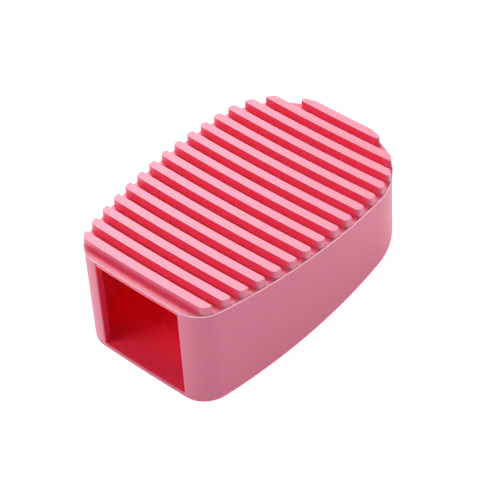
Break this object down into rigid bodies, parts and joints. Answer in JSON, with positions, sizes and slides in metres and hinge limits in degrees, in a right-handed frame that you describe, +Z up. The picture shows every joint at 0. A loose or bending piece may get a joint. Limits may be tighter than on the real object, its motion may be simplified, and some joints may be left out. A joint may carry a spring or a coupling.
{
  "type": "rubber curry brush",
  "caption": "Hollow wedge-shaped rubber hand block with a flat base, a square mouth for the fingers and a cover of straight parallel scrubbing ribs.",
  "frame": {"origin": "middle of the overall box, on the flat base that the block stands on", "axes": "+Z up from the base to the ribs, +Y from the mouth to the thinner tail, +X across, along the ribs"},
  "size_m": [0.0878, 0.134, 0.0512],
  "materials": {
    "body_rubber": "matte",
    "cover_rubber": "matte"
  },
  "bodies": {
    "root": {"hollow_body": "body_rubber", "ribbed_cover": "cover_rubber"}
  },
  "joints": []
}
